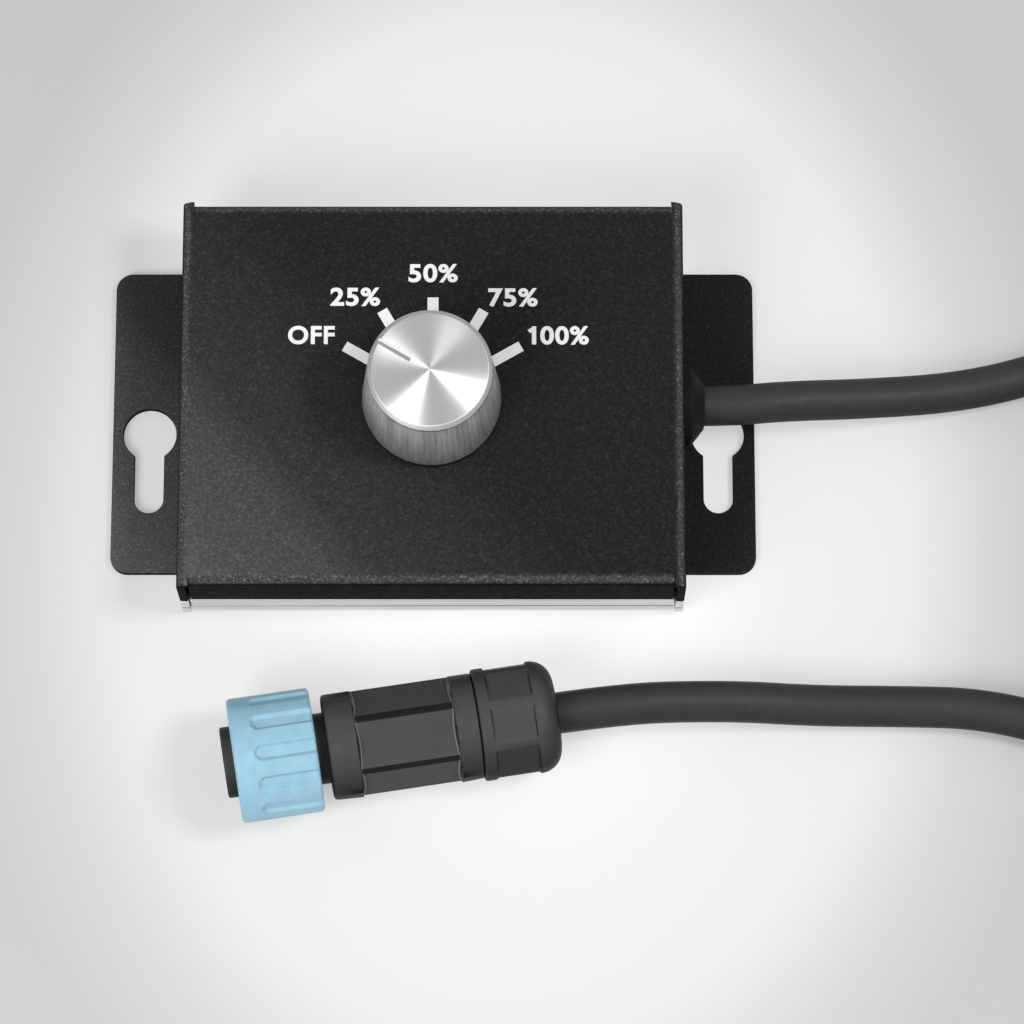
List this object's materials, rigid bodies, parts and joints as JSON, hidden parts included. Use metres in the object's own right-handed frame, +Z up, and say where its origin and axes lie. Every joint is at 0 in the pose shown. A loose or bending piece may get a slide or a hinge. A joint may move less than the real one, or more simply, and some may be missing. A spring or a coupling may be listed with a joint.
{
  "type": "grow light dimmer",
  "caption": "Black folded-sheet dimmer box with keyhole ears, a turned metal knob over a stepped dial, and a lead that ends in a round screw connector with a blue coupling nut.",
  "frame": {"origin": "on the surface the box stands on, under the middle of the box", "axes": "+X along the box towards the cable, +Y away from the reader of the dial, +Z up out of the panel"},
  "size_m": [0.2312, 0.0959, 0.0338],
  "materials": {
    "black_powder_coat": "fine-grained black powder coat",
    "bare_aluminium": "bare mill-finish sheet",
    "zinc_steel": "zinc-plated steel",
    "spun_aluminium": "turned face with circular brushing, knurled side",
    "black_plastic": "moulded",
    "connector_plastic": "fine-textured moulded nylon",
    "blue_plastic": "satin light blue moulding",
    "black_rubber": "soft matt rubber",
    "cable_jacket": "satin extruded jacket",
    "brass": "tinned brass",
    "circuit_board": "green solder mask",
    "wire_insulation": "coloured core insulation",
    "strap_fabric": "woven hook-and-loop strap"
  },
  "bodies": {
    "enclosure": {"cover": "black_powder_coat", "base_tray": "bare_aluminium", "standoffs": "bare_aluminium", "tray_screws": "zinc_steel", "switch_bushing": "zinc_steel", "switch_housing": "black_plastic", "switch_contacts": "brass", "panel_washer": "zinc_steel", "panel_nut": "zinc_steel", "circuit_board": "circuit_board", "step_resistors": "black_plastic", "core_wires": "wire_insulation", "cable_grommet": "black_rubber", "inner_tie": "black_plastic", "cable_lead": "cable_jacket", "cable_coil": "cable_jacket", "cable_return": "cable_jacket", "coil_tie": "strap_fabric", "connector_body": "connector_plastic", "connector_insert": "connector_plastic", "connector_pins": "brass", "coupling_seal": "black_rubber", "gland_nut": "connector_plastic", "gland_bush": "black_rubber", "gland_claw": "connector_plastic"},
    "knob": {"knob_cap": "spun_aluminium", "knob_core": "black_plastic", "switch_shaft": "zinc_steel", "switch_rotor": "black_plastic", "rotor_contact": "brass", "detent_spring": "zinc_steel"},
    "coupling": {"coupling_nut": "blue_plastic"}
  },
  "joints": [
    {"name": "knob_turn", "type": "hinge", "parent": "enclosure", "child": "knob", "pos_m": [0, -0.0015, 0.0183], "axis": [0, 0, 1], "range_deg": [-120, 0]},
    {"name": "coupling_turn", "type": "hinge", "parent": "enclosure", "child": "coupling", "pos_m": [-0.02232, -0.05183, 0.00911], "axis": [0.9876, 0.1547, -0.0269], "continuous": true}
  ]
}
